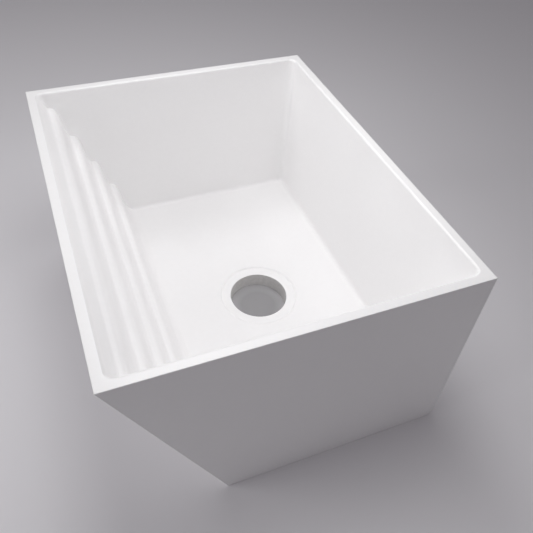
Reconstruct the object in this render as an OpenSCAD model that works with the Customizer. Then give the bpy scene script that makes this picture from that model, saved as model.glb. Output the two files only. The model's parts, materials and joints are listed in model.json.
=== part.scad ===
// Deep butler sink with a built-in washboard, made up from bonded sheets.
// One end slopes and carries four ribs. The other three walls stand upright.
// The origin is at the middle of the sink's footprint, level with its underside. +Z is up.
// -Y is the face that shows in front, and the washboard is at -X.

/* [Sink] */
// Width of the rim, from the washboard end to the deep end
sink_w = 430; // [400:5:520]
// Length of the rim, from the front face to the back face
sink_l = 530; // [420:5:650]
// Height from the underside to the rim
sink_h = 280; // [250:5:340]
// Thickness of the wall sheets
wall_t = 12; // [10:0.5:16]
// How far the washboard end leans in between the rim and the underside
lean = 128; // [110:2:140]
// Radius of the outer edge where the deep end meets the underside
base_edge_r = 12; // [2:0.5:14]
// Radius worn on the inner edge of the rim
rim_r = 3; // [1:0.5:4]

/* [Floor] */
// Thickness of the sheet under the floor
base_t = 12; // [8:0.5:16]
// Thickness of the floor slab where it meets the walls
floor_t = 22; // [16:0.5:26]
// Drop of the floor from the walls to the waste
fall = 7; // [2:0.5:9]

/* [Waste] */
// Diameter of the waste hole
waste_d = 88; // [50:1:100]
// Diameter of the shallow seat for the flange of the waste
seat_d = 118; // [106:1:130]
// Depth of that seat
seat_depth = 2; // [1:0.25:3]

/* [Washboard] */
// Distance down the slope from the rim to the first rib
first_rib = 28; // [16:1:36]
// Bare strip of the slope between the last rib and the cove at its foot
foot_strip = 16; // [4:1:24]
// Bare strip of the slope between two ribs
rib_gap = 12; // [2:1:20]
// Height of a rib's crest above the slope
rib_h = 7.5; // [4:0.5:12]
// How far down a rib its crest lies, as a share of the rib
rib_crest = 0.2; // [0.15:0.01:0.5]

/* [Coves] */
// Radius of the two upright inner corners at the deep end
corner_r = 10; // [8:0.5:16]
// Radius between the floor and the upright walls
floor_cove_r = 6; // [3:0.5:8]
// Radius between the floor and the foot of the washboard
foot_cove_r = 14; // [8:0.5:16]

/* [Hidden] */
$fn = 96;
// Cuts run this far past the face that they open through
over = 1;
// Straight steps along the outline of a rib
rib_steps = 20;
// Sides of the circle that the floor falls to
fall_sides = 32;
white = [0.96, 0.955, 0.95];

slope = atan2(lean, sink_h);
// Level width of the sloping sheet, which is cut off flat at the rim
slope_w = wall_t / cos(slope);
out_x = sink_w / 2;
out_y = sink_l / 2;
in_x = out_x - wall_t;
in_y = out_y - wall_t;
// The round on the outer edge stays within the end sheet
edge_r = min(base_edge_r, wall_t);
function slope_out(z) = -out_x + (sink_h - z) * tan(slope);
function slope_in(z) = slope_out(z) + slope_w;
floor_z = base_t + floor_t;
seat_edge_z = floor_z - fall;
seat_z = seat_edge_z - seat_depth;
waste_x = (slope_in(floor_z) + in_x) / 2;
// From an edge of the slope to where a round of radius r leaves the face
function tangent_len(r) = r * tan((90 - slope) / 2);
foot_toe_x = slope_in(floor_z) + tangent_len(foot_cove_r);
// Where the cove at the foot begins, down the slope from the rim
foot_start = (sink_h - floor_z) / cos(slope) - tangent_len(foot_cove_r);
ribs = 4;
// Distance down the slope from one rib to the next
rib_pitch = (foot_start - foot_strip - first_rib + rib_gap) / ribs;
rib_len = rib_pitch - rib_gap;
// This power puts the crest of a sine arch at rib_crest
rib_skew = ln(0.5) / ln(rib_crest);

// Runs a profile, drawn as X across and Z up, along Y
module along_y(length) {
    rotate([90, 0, 0]) linear_extrude(length, center = true) children();
}

// Runs a profile, drawn as Y across and Z up, along X
module along_x(from_x, to_x) {
    translate([from_x, 0, 0]) rotate([90, 0, 90]) linear_extrude(to_x - from_x) children();
}

// What a round of radius r takes off a square edge at the origin that points to +X and +Y
module square_edge_waste(r) {
    difference() {
        translate([-r, -r]) square(r + over);
        translate([-r, -r]) circle(r);
    }
}

// The fillet of radius r in a square corner at the origin that opens to -X and +Y
module square_fillet(r) {
    difference() {
        translate([-r, 0]) square(r);
        translate([-r, r]) circle(r);
    }
}

// The outline that the front and back panels share
module side_outline() {
    difference() {
        polygon([[-out_x, sink_h], [out_x, sink_h], [out_x, 0], [slope_out(0), 0]]);
        translate([out_x, 0]) mirror([0, 1]) square_edge_waste(edge_r);
    }
}

// What the round on the inner edge of an upright wall takes off: the wall lies at +X, its top at 0
module rim_waste() {
    mirror([1, 0]) square_edge_waste(rim_r);
}

// The rounded inner edge of the rim along the three upright walls and their two corners
module rim_round() {
    translate([in_x, 0, sink_h]) along_y(2 * (in_y - corner_r)) rim_waste();
    for (side = [0, 1]) mirror([0, side, 0]) {
        along_x(slope_in(sink_h), in_x - corner_r) translate([in_y, sink_h]) rim_waste();
        translate([in_x - corner_r, in_y - corner_r, sink_h])
            rotate_extrude() translate([corner_r, 0]) rim_waste();
    }
}

module back_panel() {
    color(white) difference() {
        translate([0, out_y - wall_t / 2, 0]) along_y(wall_t) side_outline();
        rim_round();
    }
}

module front_panel() {
    mirror([0, 1, 0]) back_panel();
}

module deep_end_panel() {
    color(white) difference() {
        along_y(2 * in_y) difference() {
            translate([in_x, 0]) square([wall_t, sink_h]);
            translate([out_x, 0]) mirror([0, 1]) square_edge_waste(edge_r);
        }
        rim_round();
    }
}

// The sloping sheet, with its inner edge at the rim rounded like the rest
module washboard_panel() {
    edge_x = slope_in(sink_h);
    t = tangent_len(rim_r);
    centre = [edge_x - t, sink_h - rim_r];
    color(white) along_y(2 * in_y) difference() {
        polygon([[-out_x, sink_h], [edge_x, sink_h], [slope_in(0), 0], [slope_out(0), 0]]);
        difference() {
            polygon([
                [edge_x - t, sink_h + over],
                [edge_x + over, sink_h + over],
                [edge_x + over, sink_h],
                [edge_x + t * sin(slope), sink_h - t * cos(slope)],
                centre
            ]);
            translate(centre) circle(rim_r);
        }
    }
}

// A rib stands proud quickly at its upper edge and falls away gently below its crest
module rib_outline() {
    polygon([
        for (i = [0 : rib_steps])
            let (u = pow(i / rib_steps, 2))
            [u * rib_len, rib_h * sin(180 * pow(u, rib_skew))]
    ]);
}

// Ribs lie on the slope and are counted from the rim
module washboard_rib(index) {
    start = first_rib + index * rib_pitch;
    color(white) along_y(2 * in_y)
        translate([slope_in(sink_h) + start * sin(slope), sink_h - start * cos(slope)])
            rotate(slope - 90) rib_outline();
}

// Space above the floor, which falls from the coves to the seat of the waste
module fall_space() {
    reach_y = in_y - floor_cove_r;
    hull() {
        translate([foot_toe_x, -reach_y, floor_z])
            cube([in_x - floor_cove_r - foot_toe_x, 2 * reach_y, over]);
        translate([waste_x, 0, seat_edge_z])
            cylinder(h = fall, d = seat_d, $fn = fall_sides);
    }
}

module floor_panel() {
    color(white) difference() {
        along_y(2 * in_y) polygon([
            [slope_in(base_t), base_t], [in_x, base_t], [in_x, floor_z], [slope_in(floor_z), floor_z]
        ]);
        fall_space();
        translate([waste_x, 0, seat_z]) cylinder(h = floor_t, d = seat_d);
        translate([waste_x, 0, base_t - over]) cylinder(h = floor_t, d = waste_d);
    }
}

module base_panel() {
    color(white) difference() {
        along_y(2 * in_y) polygon([
            [slope_in(0), 0], [in_x, 0], [in_x, base_t], [slope_in(base_t), base_t]
        ]);
        translate([waste_x, 0, -over]) cylinder(h = base_t + 2 * over, d = waste_d);
    }
}

// Space in the bowl at an upright corner, rounded off where it meets the floor
module corner_space() {
    low = floor_z + floor_cove_r;
    translate([in_x - corner_r, in_y - corner_r, 0]) rotate_extrude() intersection() {
        union() {
            translate([0, low]) square([corner_r, sink_h + over - low]);
            translate([0, floor_z - over])
                square([corner_r - floor_cove_r, floor_cove_r + 2 * over]);
            translate([corner_r - floor_cove_r, low]) circle(floor_cove_r);
        }
        square([corner_r, sink_h + over]);
    }
}

module back_corner_cove() {
    color(white) difference() {
        translate([in_x - corner_r, in_y - corner_r, floor_z])
            cube([corner_r, corner_r, sink_h - floor_z]);
        corner_space();
        rim_round();
    }
}

module front_corner_cove() {
    mirror([0, 1, 0]) back_corner_cove();
}

module deep_end_floor_cove() {
    color(white) along_y(2 * (in_y - corner_r))
        translate([in_x, floor_z]) square_fillet(floor_cove_r);
}

module back_floor_cove() {
    color(white) along_x(foot_toe_x, in_x - corner_r)
        translate([in_y, floor_z]) square_fillet(floor_cove_r);
}

module front_floor_cove() {
    mirror([0, 1, 0]) back_floor_cove();
}

module washboard_foot_cove() {
    corner_x = slope_in(floor_z);
    t = tangent_len(foot_cove_r);
    centre = [foot_toe_x, floor_z + foot_cove_r];
    color(white) along_y(2 * in_y) difference() {
        polygon([
            [corner_x, floor_z],
            [foot_toe_x, floor_z],
            centre,
            [corner_x - t * sin(slope), floor_z + t * cos(slope)]
        ]);
        translate(centre) circle(foot_cove_r);
    }
}

front_panel();
back_panel();
deep_end_panel();
washboard_panel();
washboard_rib(0);  // washboard_rib_1
washboard_rib(1);  // washboard_rib_2
washboard_rib(2);  // washboard_rib_3
washboard_rib(3);  // washboard_rib_4
floor_panel();
base_panel();
front_corner_cove();
back_corner_cove();
deep_end_floor_cove();
front_floor_cove();
back_floor_cove();
washboard_foot_cove();
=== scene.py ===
"""Butler sink with a washboard end: its finished surface, material, light and camera.

The sink is bonded from sheets and sanded until no joint shows, so its whole surface is made once,
as a tube of rings that runs from the waste hole, under the base, up the outside, over the rim,
down the inside and across the floor back to the hole. Planes then part it into the sink's pieces.
"""

import json
import math

import bmesh
import bpy
import numpy as np
from mathutils import Matrix, Vector


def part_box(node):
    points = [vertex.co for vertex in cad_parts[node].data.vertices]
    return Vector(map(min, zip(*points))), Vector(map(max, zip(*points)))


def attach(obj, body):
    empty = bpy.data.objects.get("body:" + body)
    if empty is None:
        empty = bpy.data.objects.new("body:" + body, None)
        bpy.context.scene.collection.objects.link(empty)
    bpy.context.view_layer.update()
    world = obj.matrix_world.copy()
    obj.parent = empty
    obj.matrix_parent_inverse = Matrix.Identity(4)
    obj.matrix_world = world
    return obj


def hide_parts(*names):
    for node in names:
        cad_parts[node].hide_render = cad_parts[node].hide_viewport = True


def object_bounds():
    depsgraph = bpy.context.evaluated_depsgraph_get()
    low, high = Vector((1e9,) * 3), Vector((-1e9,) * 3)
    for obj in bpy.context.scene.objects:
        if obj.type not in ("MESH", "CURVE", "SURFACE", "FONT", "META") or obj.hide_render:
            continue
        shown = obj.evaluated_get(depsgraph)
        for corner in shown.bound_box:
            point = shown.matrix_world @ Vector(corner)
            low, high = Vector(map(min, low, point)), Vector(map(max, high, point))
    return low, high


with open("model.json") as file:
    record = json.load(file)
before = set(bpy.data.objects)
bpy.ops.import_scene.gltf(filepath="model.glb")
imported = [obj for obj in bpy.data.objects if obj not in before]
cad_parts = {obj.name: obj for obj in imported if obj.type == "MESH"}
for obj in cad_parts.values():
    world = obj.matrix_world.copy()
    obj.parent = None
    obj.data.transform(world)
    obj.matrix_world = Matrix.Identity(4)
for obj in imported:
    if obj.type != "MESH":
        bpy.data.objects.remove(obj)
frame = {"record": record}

MM = 0.001

# The sink's main sizes, read from the frame
CAD_LOW, CAD_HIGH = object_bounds()
TOP = CAD_HIGH.z
OUT_X = CAD_HIGH.x
OUT_Y = CAD_HIGH.y
IN_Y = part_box("back_panel")[0].y
IN_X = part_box("deep_end_panel")[0].x
BASE_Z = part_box("base_panel")[1].z
FLOOR_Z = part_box("floor_panel")[1].z
LEAN = (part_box("base_panel")[0].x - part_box("floor_panel")[0].x) / (FLOOR_Z - BASE_Z)
SLOPE = math.atan(LEAN)
RIM_EDGE_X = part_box("floor_panel")[0].x - (TOP - FLOOR_Z) * LEAN
WASTE = next(m for m in frame["record"]["mounts"] if m["name"] == "waste_hole")
WASTE_X = WASTE["pos_m"][0]
WASTE_R = WASTE["dims"]["r_mm"] * MM
SEAT_Z = WASTE["dims"]["length_mm"] * MM
# The plain numbers from here to the coves are the CAD model's
SEAT_R = 59 * MM
SEAT_DEPTH = 2 * MM

# Ribs, along the slope
FIRST_RIB = 28 * MM
RIB_PITCH = (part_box("washboard_rib_1")[1].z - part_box("washboard_rib_2")[1].z) / math.cos(SLOPE)
RIB_GAP = 12 * MM
RIB_HEIGHT = 7.5 * MM
RIB_CREST = 0.2
RIBS = 4

# Rounds and coves
RIM_R = 3 * MM
BASE_EDGE_R = OUT_X - IN_X
CORNER_R = 10 * MM
FLOOR_COVE_R = 6 * MM
FOOT_COVE_R = 14 * MM

# Sanded edges, which the CAD model leaves sharp
OUTER_ARRIS = 0.8 * MM
WASTE_ARRIS = 1.5 * MM
WASTE_LOWER_ARRIS = 0.5 * MM
# Width of the smooth step down to the seat
SEAT_BLEND = 2.8 * MM
# Spread of the bell curve that rounds the washboard's valleys and crests
VALLEY_BLEND = 3 * MM
# Radius where the washboard meets the walls, its radius at the rim, and how far down it widens
RIB_END_R = 1.2 * MM
RIM_CORNER_R = 8.5 * MM
RIM_CORNER_DEPTH = 24 * MM

# Tones of the finish at two levels of the cloud noise
CLOUD_TONES = [(0.3, (0.941, 0.936, 0.936, 1)), (0.7, (0.955, 0.951, 0.951, 1))]
# Range of a noise, and the range of the factor or the roughness that it gives
FLECK_RANGES = (0.35, 0.65, 0.99, 1.0)
GRIT_RANGES = (0.3, 0.7, 0.92, 1.08)
ROUGHNESS_RANGES = (0.3, 0.7, 0.3, 0.37)
FINISH_IOR = 1.5
RIPPLE_DEPTH = 0.2 * MM
# The edge round the hole is painted whiter by this factor, over this width, as a painted highlight
HOLE_HIGHLIGHT_FACTOR = 1.04
HOLE_HIGHLIGHT_EDGE = 3 * MM
# The hole's wall is painted grey as painted shade, and the grey starts this close to the wall
HOLE_WALL_SHADE_EDGE = 0.2 * MM
HOLE_WALL_SHADE_TONE = (0.64, 0.63, 0.62)

# The stage: a sheet that reaches this far from the origin, this little below the sink
STAGE_TONE = (0.8, 0.79, 0.81)
STAGE_ROUGHNESS = 0.8
STAGE_REACH = 6.0
STAGE_DROP = 0.2 * MM
# Under the waste hole the sheet is darker by this factor, a painted shade, which fades between
# these two radii
HOLE_SHADE_FACTOR = 0.43
HOLE_SHADE_R = 0.6 * WASTE_R
HOLE_SHADE_EDGE_R = 1.8 * WASTE_R

# Softboxes: name, place, width and level. The levels are fitted to the photograph's tones.
SOFTBOXES = [
    ("key_softbox", (0.05, 0.02, 0.78), 0.45, 0.695),
    ("high_softbox", (0.0, 0.0, 1.1), 0.5, 0.09),
    ("right_softbox", (0.45, -0.05, 0.6), 0.4, 0.048),
    ("back_softbox", (0.0, 0.7, 1.5), 0.4, 0.165),
    ("left_softbox", (-1.8, 0.0, 1.0), 1.2, 0.31),
]
WORLD_TONE = (0.99, 0.94, 1.0, 1)
WORLD_LEVEL = 0.205
# A white bowl passes light from wall to wall many times
DIFFUSE_BOUNCES = 10

# The photograph's camera, in degrees, metres and millimetres of film. The shift is in film widths.
CAMERA_PLACE = (-0.20635, -0.56662, 0.7333)
CAMERA_AZIMUTH = 24.398
CAMERA_ELEVATION = -44.796
CAMERA_ROLL = 4.258
CAMERA_LENS = 40.11
CAMERA_FILM = 36
CAMERA_SHIFT = (0.0160, -0.0213)

# Mesh density: segments along each side and corner of a ring, and around a round
SIDE_SEGMENTS = 20
CORNER_SEGMENTS = 8
ROUND_SEGMENTS = 6
RIB_SEGMENTS = 22
# Steps from ring to ring across each flat face
UNDERSIDE_STEPS = 6
OUTSIDE_STEPS = 8
RIM_STEPS = 2
FLOOR_STEPS = 14
# Down the washboard, a new ring comes by the time it has turned or run this far
RING_TURN = math.radians(9)
RING_RUN = 6 * MM
# The sanding works in this many steps to its spread, and reaches this many spreads
BLEND_STEPS = 6
BLEND_REACH = 3
# A plane that parts two pieces lies this far in front of the wall face that it follows
CLEAR = 0.03 * MM
# A point this close to a plane counts as on it
ON_PLANE = 0.001 * MM


def round_off(radius, depth):
    """How far a quarter round of this radius has drawn in at this depth below its tangent."""
    return radius - math.sqrt(max(radius**2 - min(depth, radius) ** 2, 0.0))


def smooth(t):
    """A share from 0 to 1 that starts and ends gently."""
    t = min(max(t, 0.0), 1.0)
    return t * t * (3 - 2 * t)


def plan_ring(left, right, half, left_r, right_r, z):
    """A level rounded rectangle, counter-clockwise from its right back corner."""
    corners = [
        (right - right_r, half - right_r, right_r, 0),
        (left + left_r, half - left_r, left_r, 90),
        (left + left_r, left_r - half, left_r, 180),
        (right - right_r, right_r - half, right_r, 270),
    ]
    arcs = []
    for x, y, r, start in corners:
        turn = np.radians(start + np.linspace(0, 90, CORNER_SEGMENTS + 1))
        arcs.append(np.stack([x + r * np.cos(turn), y + r * np.sin(turn)], -1))
    points = []
    share = (np.arange(1, SIDE_SEGMENTS) / SIDE_SEGMENTS)[:, None]
    for arc, after in zip(arcs, arcs[1:] + arcs[:1]):
        points += [arc, arc[-1] + (after[0] - arc[-1]) * share]
    flat = np.concatenate(points)
    return np.column_stack([flat, np.full(len(flat), z)])


def round_ring(radius, z):
    """A level circle round the waste, whose points match those of plan_ring."""
    quarter = CORNER_SEGMENTS + SIDE_SEGMENTS
    first = 45 - 90 * CORNER_SEGMENTS / 2 / quarter
    turn = np.radians(first + 90 * np.arange(4 * quarter) / quarter)
    x = WASTE_X + radius * np.cos(turn)
    return np.column_stack([x, radius * np.sin(turn), np.full(len(turn), z)])


def washboard_outline():
    """X and Z down the washboard's face, from the top of the rim's round to the floor."""
    along = np.array([math.sin(SLOPE), -math.cos(SLOPE)])
    out = np.array([math.cos(SLOPE), math.sin(SLOPE)])
    edge = np.array([RIM_EDGE_X, TOP])
    half_angle = math.pi / 4 - SLOPE / 2
    rim_tangent = RIM_R * math.tan(half_angle)
    foot_tangent = FOOT_COVE_R * math.tan(half_angle)

    rim_centre = edge - [rim_tangent, RIM_R]
    turn = np.linspace(math.pi / 2, SLOPE, 2 * ROUND_SEGMENTS)
    rim = rim_centre + RIM_R * np.stack([np.cos(turn), np.sin(turn)], -1)

    rib = [edge + along * FIRST_RIB]
    length = RIB_PITCH - RIB_GAP
    skew = math.log(0.5) / math.log(RIB_CREST)
    for index in range(RIBS):
        for step in range(RIB_SEGMENTS + 1):
            u = (step / RIB_SEGMENTS) ** 2
            s = FIRST_RIB + index * RIB_PITCH + u * length
            rib.append(edge + along * s + out * RIB_HEIGHT * math.sin(math.pi * u**skew))

    corner = np.array([RIM_EDGE_X + (TOP - FLOOR_Z) * LEAN, FLOOR_Z])
    foot_centre = corner + [foot_tangent, FOOT_COVE_R]
    turn = np.linspace(math.pi + SLOPE, 1.5 * math.pi, 2 * ROUND_SEGMENTS)
    foot = foot_centre + FOOT_COVE_R * np.stack([np.cos(turn), np.sin(turn)], -1)
    return np.concatenate([rim, rib, foot])


def sanded(outline):
    """The outline with its valleys and crests rounded by a bell curve, its two ends kept."""
    run = np.concatenate([[0], np.cumsum(np.hypot(*np.diff(outline, axis=0).T))])
    step = VALLEY_BLEND / BLEND_STEPS
    even = np.linspace(0, run[-1], int(run[-1] / step) + 1)
    line = np.stack([np.interp(even, run, outline[:, k]) for k in (0, 1)], -1)
    reach = BLEND_REACH * BLEND_STEPS
    weight = np.exp(-0.5 * (np.arange(-reach, reach + 1) * step / VALLEY_BLEND) ** 2)
    weight /= weight.sum()
    wide = np.pad(line, ((reach, reach), (0, 0)), mode="reflect", reflect_type="odd")
    line = np.stack([np.convolve(wide[:, k], weight, "valid") for k in (0, 1)], -1)
    falling = np.minimum.accumulate(line[:, 1])
    kept = np.concatenate([[True], np.diff(falling) < 0])
    return line[kept]


WASHBOARD = sanded(washboard_outline())


def washboard_x(z):
    """Where the washboard's face is at this height."""
    return float(np.interp(z, WASHBOARD[::-1, 1], WASHBOARD[::-1, 0]))


def inner_ring(z):
    """The bowl's outline at this height, with the rim's round, the ribs and the floor coves."""
    inset = 0.0
    if z < FLOOR_Z + FLOOR_COVE_R:
        inset = round_off(FLOOR_COVE_R, FLOOR_Z + FLOOR_COVE_R - z)
    if z > TOP - RIM_R:
        inset = -round_off(RIM_R, z - TOP + RIM_R)
    rim_share = smooth((z - TOP + RIM_CORNER_DEPTH) / RIM_CORNER_DEPTH)
    left_r = RIB_END_R + (RIM_CORNER_R - RIB_END_R) * rim_share
    return plan_ring(
        washboard_x(z), IN_X - inset, IN_Y - inset, left_r - min(inset, 0), CORNER_R - inset, z
    )


def outer_ring(z):
    """The outside's outline at this height, with its arrises and the round under the deep end."""
    inset = 0.0
    if z < OUTER_ARRIS:
        inset = round_off(OUTER_ARRIS, OUTER_ARRIS - z)
    if z > TOP - OUTER_ARRIS:
        inset = round_off(OUTER_ARRIS, z - TOP + OUTER_ARRIS)
    right_inset = inset
    if z < BASE_EDGE_R:
        right_inset = max(inset, round_off(BASE_EDGE_R, BASE_EDGE_R - z))
    left = -OUT_X + (TOP - z) * LEAN + inset
    return plan_ring(left, OUT_X - right_inset, OUT_Y - inset, OUTER_ARRIS, OUTER_ARRIS, z)


def arc_heights(low, radius, level_at_low):
    """Heights of evenly spaced points up a quarter round that is level at its low or high end."""
    turn = np.linspace(0, math.pi / 2, ROUND_SEGMENTS + 1)
    rise = radius * (1 - np.cos(turn)) if level_at_low else radius * np.sin(turn)
    return [low + r for r in rise]


def blend_rings(first, last, steps):
    """Rings between two others, the two themselves left out."""
    return [first + (last - first) * (k / steps) for k in range(1, steps)]


def wall_heights():
    """Heights of the bowl's rings: the washboard's outline, closest where it bends most."""
    line = WASHBOARD[(WASHBOARD[:, 1] < TOP - RIM_R) & (WASHBOARD[:, 1] > FLOOR_Z)]
    step = np.diff(line, axis=0)
    turn = np.abs(np.diff(np.unwrap(np.arctan2(step[:, 1], step[:, 0]))))
    length = np.hypot(*step.T)[1:]
    need = np.cumsum(turn / RING_TURN + length / RING_RUN)
    count = int(need[-1])
    picks = np.searchsorted(need, np.linspace(need[0], need[-1], count))
    return [float(line[k + 1, 1]) for k in np.unique(picks)]


def sink_rings():
    """Every ring of the surface, in order: underside, outside, rim, bowl, floor, seat, hole."""
    hole_foot = round_ring(WASTE_R + WASTE_LOWER_ARRIS, 0)
    foot = outer_ring(0)
    rings = [hole_foot, *blend_rings(hole_foot, foot, UNDERSIDE_STEPS), foot]

    low_arris = arc_heights(0, OUTER_ARRIS, level_at_low=True)
    base_edge = arc_heights(0, BASE_EDGE_R, level_at_low=True)
    top_arris = arc_heights(TOP - OUTER_ARRIS, OUTER_ARRIS, level_at_low=False)
    upright = np.linspace(BASE_EDGE_R, TOP - OUTER_ARRIS, OUTSIDE_STEPS + 1)[1:-1]
    for z in sorted({*low_arris[1:], *base_edge[1:], *upright, *top_arris}):
        rings.append(outer_ring(z))

    rings += blend_rings(rings[-1], inner_ring(TOP), RIM_STEPS)
    rim_round = arc_heights(TOP - RIM_R, RIM_R, level_at_low=False)
    cove = arc_heights(FLOOR_Z, FLOOR_COVE_R, level_at_low=True)
    for z in sorted({*rim_round, *wall_heights(), *cove}, reverse=True):
        rings.append(inner_ring(z))

    floor_edge = inner_ring(FLOOR_Z)
    seat_rim = round_ring(SEAT_R + SEAT_BLEND / 2, SEAT_Z + SEAT_DEPTH)
    rings += [*blend_rings(floor_edge, seat_rim, FLOOR_STEPS), seat_rim]
    for share in np.linspace(0, 1, 2 * ROUND_SEGMENTS)[1:]:
        level = SEAT_Z + SEAT_DEPTH * (1 - smooth(share))
        rings.append(round_ring(SEAT_R + SEAT_BLEND * (0.5 - share), level))

    quarter = np.linspace(0, math.pi / 2, ROUND_SEGMENTS + 1)
    for turn in quarter:
        drop = WASTE_ARRIS * (1 - math.cos(turn))
        rings.append(round_ring(WASTE_R + WASTE_ARRIS * (1 - math.sin(turn)), SEAT_Z - drop))
    for turn in quarter[:-1]:
        rise = WASTE_LOWER_ARRIS * (1 - math.sin(turn))
        rings.append(round_ring(WASTE_R + WASTE_LOWER_ARRIS * (1 - math.cos(turn)), rise))
    return rings


def area_weighted_normals(points, quads):
    """Each point's normal, led by its largest faces, which keeps flat faces flat up to an arris."""
    a, b, c, d = (points[quads[:, k]] for k in range(4))
    face = np.cross(c - a, d - b)
    normals = np.zeros_like(points)
    for k in range(4):
        np.add.at(normals, quads[:, k], face)
    return normals / np.linalg.norm(normals, axis=1, keepdims=True)


def finished_surface():
    """The whole sink as one closed shape, with its smooth normals kept on its points."""
    rings = sink_rings()
    count = len(rings[0])
    points = np.concatenate(rings)
    around = np.arange(count)
    after = (around + 1) % count
    quads = []
    for k in range(len(rings)):
        here, there = k * count, (k + 1) % len(rings) * count
        quads.append(np.stack([here + around, here + after, there + after, there + around], -1))
    quads = np.concatenate(quads)
    normals = area_weighted_normals(points, quads)

    shape = bmesh.new()
    kept_normal = shape.verts.layers.float_vector.new("finish_normal")
    finish = shape.faces.layers.int.new("finish")
    for point, normal in zip(points, normals):
        vert = shape.verts.new(point)
        vert[kept_normal] = normal
    shape.verts.ensure_lookup_table()
    for quad in quads:
        shape.faces.new([shape.verts[k] for k in quad])[finish] = 1
    return shape


def part(shape, at, normal):
    """The two closed parts of a shape, behind a plane and in front of it."""
    parts = []
    for side in (1, -1):
        half = shape.copy()
        cut = bmesh.ops.bisect_plane(
            half, geom=[*half.verts, *half.edges, *half.faces], plane_co=at, plane_no=normal,
            dist=ON_PLANE, clear_outer=side > 0, clear_inner=side < 0,
        )
        edges = [e for e in cut["geom_cut"] if isinstance(e, bmesh.types.BMEdge)]
        if edges:
            bmesh.ops.triangle_fill(half, edges=edges, use_beauty=True, normal=normal)
        parts.append(half)
    return parts


def joined(whole, other):
    """A shape with another added to it."""
    mesh = bpy.data.meshes.new("joined")
    other.to_mesh(mesh)
    whole.from_mesh(mesh)
    bpy.data.meshes.remove(mesh)
    return whole


def slope_point(s, height=0.0):
    """A point on the washboard sheet's face, s down the slope from the rim, or above that face."""
    x = RIM_EDGE_X + s * math.sin(SLOPE) + height * math.cos(SLOPE)
    return Vector((x, 0, TOP - s * math.cos(SLOPE) + height * math.sin(SLOPE)))


def sink_pieces():
    """Each piece of the sink by its node's name."""
    down_slope = Vector((math.sin(SLOPE), 0, -math.cos(SLOPE)))
    off_slope = Vector((math.cos(SLOPE), 0, math.sin(SLOPE)))
    toe_x = slope_point((TOP - FLOOR_Z) / math.cos(SLOPE)).x
    toe_x += FOOT_COVE_R * math.tan(math.pi / 4 - SLOPE / 2)
    pieces = {}
    pieces["front_panel"], rest = part(finished_surface(), (0, CLEAR - IN_Y, 0), (0, 1, 0))
    rest, pieces["back_panel"] = part(rest, (0, IN_Y - CLEAR, 0), (0, 1, 0))
    rest, pieces["deep_end_panel"] = part(rest, (IN_X - CLEAR, 0, 0), (1, 0, 0))
    sheet, rest = part(rest, slope_point(0, CLEAR), off_slope)
    pieces["base_panel"], rest = part(rest, (0, 0, BASE_Z), (0, 0, 1))
    pieces["floor_panel"], rest = part(rest, (0, 0, FLOOR_Z + CLEAR), (0, 0, 1))
    washboard, bowl = part(rest, (toe_x, 0, 0), (1, 0, 0))
    first_gap = FIRST_RIB - RIB_GAP / 2
    rim_corners, washboard = part(washboard, slope_point(first_gap), down_slope)
    pieces["washboard_panel"] = joined(sheet, rim_corners)
    for index in range(RIBS):
        below = slope_point(first_gap + (index + 1) * RIB_PITCH)
        rib, washboard = part(washboard, below, down_slope)
        pieces[f"washboard_rib_{index + 1}"] = rib
    pieces["washboard_foot_cove"] = washboard
    sides, end = part(bowl, (IN_X - CORNER_R, 0, 0), (1, 0, 0))
    pieces["front_floor_cove"], pieces["back_floor_cove"] = part(sides, (0, 0, 0), (0, 1, 0))
    pieces["front_corner_cove"], end = part(end, (0, CORNER_R - IN_Y, 0), (0, 1, 0))
    middle, pieces["back_corner_cove"] = part(end, (0, IN_Y - CORNER_R, 0), (0, 1, 0))
    pieces["deep_end_floor_cove"] = middle
    return pieces


def add_piece(node, shape, material):
    """A piece in the scene that stands for its node, its finished faces with their kept normals."""
    kept_normal = shape.verts.layers.float_vector["finish_normal"]
    finish = shape.faces.layers.int["finish"]
    bmesh.ops.recalc_face_normals(shape, faces=shape.faces)
    shape.normal_update()
    normals = []
    for face in shape.faces:
        face.smooth = True
        for vert in face.verts:
            kept = Vector(vert[kept_normal]).normalized()
            normals.append(kept if face[finish] else face.normal.copy())
    mesh = bpy.data.meshes.new(node + "_surface")
    shape.to_mesh(mesh)
    mesh.normals_split_custom_set(normals)
    mesh.materials.append(material)
    piece = bpy.data.objects.new(node + "_surface", mesh)
    bpy.context.scene.collection.objects.link(piece)
    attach(piece, "root")
    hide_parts(node)


def node_in(tree, kind, **values):
    """A shader node with its settings and inputs filled in."""
    node = tree.nodes.new(kind)
    for key, value in values.items():
        if key in node.inputs:
            node.inputs[key].default_value = value
        else:
            setattr(node, key, value)
    return node


def between(tree, value, from_low, from_high, low, high):
    """A value brought from one range to another."""
    node = tree.nodes.new("ShaderNodeMapRange")
    for name, limit in zip(
        ("From Min", "From Max", "To Min", "To Max"), (from_low, from_high, low, high)
    ):
        node.inputs[name].default_value = limit
    tree.links.new(value, node.inputs["Value"])
    return node.outputs["Result"]


def distance_from_waste(tree, place):
    """How far a place is from the waste's axis."""
    offset = node_in(tree, "ShaderNodeVectorMath", operation="SUBTRACT")
    offset.inputs[1].default_value = (WASTE_X, 0, 0)
    tree.links.new(place, offset.inputs[0])
    level = node_in(tree, "ShaderNodeVectorMath", operation="MULTIPLY")
    level.inputs[1].default_value = (1, 1, 0)
    tree.links.new(offset.outputs["Vector"], level.inputs[0])
    distance = node_in(tree, "ShaderNodeVectorMath", operation="LENGTH")
    tree.links.new(level.outputs["Vector"], distance.inputs[0])
    return distance.outputs["Value"]


def scaled(tree, colour, factor):
    """A colour made lighter or darker by a factor."""
    node = node_in(tree, "ShaderNodeVectorMath", operation="SCALE")
    if isinstance(colour, tuple):
        node.inputs[0].default_value = colour
    else:
        tree.links.new(colour, node.inputs[0])
    tree.links.new(factor, node.inputs["Scale"])
    return node.outputs["Vector"]


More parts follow.
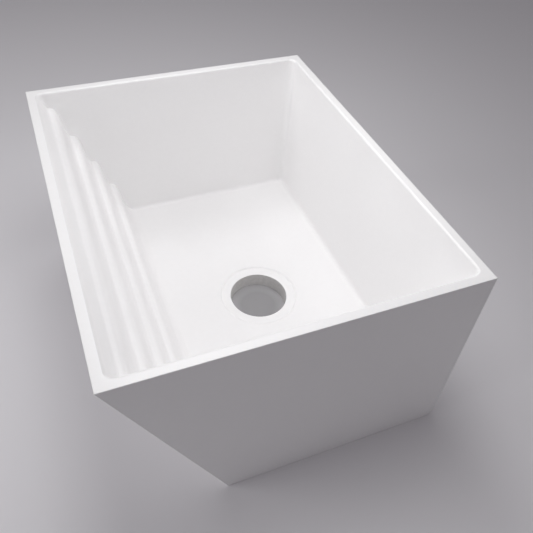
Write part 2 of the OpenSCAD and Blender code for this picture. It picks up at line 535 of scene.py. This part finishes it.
def solid_surface():
    """Polished mineral-filled resin: off-white, faintly clouded and mottled, with a soft gloss."""
    material = bpy.data.materials.new("solid_surface")
    material.use_nodes = True
    tree = material.node_tree
    link = tree.links.new
    shader = tree.nodes["Principled BSDF"]
    shader.inputs["IOR"].default_value = FINISH_IOR
    place = tree.nodes.new("ShaderNodeTexCoord").outputs["Object"]

    cloud = node_in(tree, "ShaderNodeTexNoise", Scale=9.0, Detail=4.0, Roughness=0.55)
    mottle = node_in(tree, "ShaderNodeTexNoise", Scale=170.0, Detail=3.0, Roughness=0.6)
    polish = node_in(tree, "ShaderNodeTexNoise", Scale=45.0, Detail=2.0, Roughness=0.5)
    for texture in (cloud, mottle, polish):
        link(place, texture.inputs["Vector"])

    tone = node_in(tree, "ShaderNodeValToRGB")
    for element, (level, cloud_tone) in zip(tone.color_ramp.elements, CLOUD_TONES):
        element.position = level
        element.color = cloud_tone
    link(cloud.outputs["Fac"], tone.inputs["Fac"])
    fleck = between(tree, mottle.outputs["Fac"], *FLECK_RANGES)
    finished = scaled(tree, tone.outputs["Color"], fleck)
    from_axis = distance_from_waste(tree, place)
    # Painted highlight: the finish is made whiter near the hole's edge
    hole_highlight = between(tree, from_axis, WASTE_R + HOLE_HIGHLIGHT_EDGE, WASTE_R, 1.0, HOLE_HIGHLIGHT_FACTOR)
    finished = scaled(tree, finished, hole_highlight)

    grit = between(tree, mottle.outputs["Fac"], *GRIT_RANGES)
    # Painted shade: the hole's wall gets a grey tone, with random grit, in place of the finish
    hole_wall_shade = between(tree, from_axis, WASTE_R + HOLE_WALL_SHADE_EDGE, WASTE_R, 0.0, 1.0)
    colour = node_in(tree, "ShaderNodeMix", data_type="RGBA")
    link(hole_wall_shade, colour.inputs["Factor"])
    link(finished, colour.inputs["A"])
    link(scaled(tree, HOLE_WALL_SHADE_TONE, grit), colour.inputs["B"])
    link(colour.outputs["Result"], shader.inputs["Base Color"])

    roughness = between(tree, cloud.outputs["Fac"], *ROUGHNESS_RANGES)
    link(roughness, shader.inputs["Roughness"])
    ripple = node_in(tree, "ShaderNodeBump", Strength=0.1, Distance=RIPPLE_DEPTH)
    link(polish.outputs["Fac"], ripple.inputs["Height"])
    link(ripple.outputs["Normal"], shader.inputs["Normal"])
    return material


def pale_floor():
    """A wide plain pale sheet under the sink, darker under its waste hole as painted shade."""
    material = bpy.data.materials.new("pale_floor")
    material.use_nodes = True
    tree = material.node_tree
    shader = tree.nodes["Principled BSDF"]
    shader.inputs["Roughness"].default_value = STAGE_ROUGHNESS
    place = tree.nodes.new("ShaderNodeTexCoord").outputs["Object"]
    from_axis = distance_from_waste(tree, place)
    # Painted shade: the sheet is darker under the waste hole
    shade = between(tree, from_axis, HOLE_SHADE_R, HOLE_SHADE_EDGE_R, HOLE_SHADE_FACTOR, 1.0)
    tree.links.new(scaled(tree, STAGE_TONE, shade), shader.inputs["Base Color"])
    mesh = bpy.data.meshes.new("floor")
    signs = [(-1, -1), (1, -1), (1, 1), (-1, 1)]
    corners = [(x * STAGE_REACH, y * STAGE_REACH, 0) for x, y in signs]
    mesh.from_pydata(corners, [], [(0, 1, 2, 3)])
    mesh.materials.append(material)
    floor = bpy.data.objects.new("floor", mesh)
    floor.location.z = -STAGE_DROP
    bpy.context.scene.collection.objects.link(floor)


def direction(azimuth, elevation):
    """The way that has this azimuth, from +Y towards +X, and this elevation."""
    a, e = math.radians(azimuth), math.radians(elevation)
    return Vector((math.sin(a) * math.cos(e), math.cos(a) * math.cos(e), math.sin(e)))


def add_softbox(name, place, size, level):
    """A square softbox turned to the sink's rim, which it lights at this level from its middle."""
    light = bpy.data.lights.new(name, "AREA")
    light.size = size
    lamp = bpy.data.objects.new(name, light)
    lamp.location = place
    lamp.visible_camera = False
    throw = lamp.location - Vector((0, 0, TOP))
    light.energy = level * math.pi**2 * throw.length_squared
    lamp.rotation_mode = "QUATERNION"
    lamp.rotation_quaternion = throw.to_track_quat("Z", "Y")
    bpy.context.scene.collection.objects.link(lamp)


def light_scene():
    """The softboxes, hidden from the camera, and an even light from all around."""
    for softbox in SOFTBOXES:
        add_softbox(*softbox)
    world = bpy.data.worlds.new("studio")
    world.use_nodes = True
    background = world.node_tree.nodes["Background"]
    background.inputs["Color"].default_value = WORLD_TONE
    background.inputs["Strength"].default_value = WORLD_LEVEL
    bpy.context.scene.world = world


def add_camera():
    """The camera, turned and placed as the photograph's was."""
    ahead = direction(CAMERA_AZIMUTH, CAMERA_ELEVATION)
    roll = math.radians(CAMERA_ROLL)
    level = ahead.cross(Vector((0, 0, 1))).normalized()
    upright = level.cross(ahead)
    right = level * math.cos(roll) + upright * math.sin(roll)
    up = upright * math.cos(roll) - level * math.sin(roll)
    camera = bpy.data.objects.new("camera", bpy.data.cameras.new("camera"))
    camera.data.sensor_width = CAMERA_FILM
    camera.data.lens = CAMERA_LENS
    camera.data.shift_x, camera.data.shift_y = CAMERA_SHIFT
    turn = Matrix((right, up, -ahead)).transposed()
    camera.matrix_world = Matrix.Translation(CAMERA_PLACE) @ turn.to_4x4()
    bpy.context.scene.collection.objects.link(camera)
    bpy.context.scene.camera = camera


finish_material = solid_surface()
for node, shape in sink_pieces().items():
    add_piece(node, shape, finish_material)
pale_floor()
light_scene()
add_camera()
bpy.context.scene.view_settings.view_transform = "Standard"
bpy.context.scene.cycles.diffuse_bounces = DIFFUSE_BOUNCES
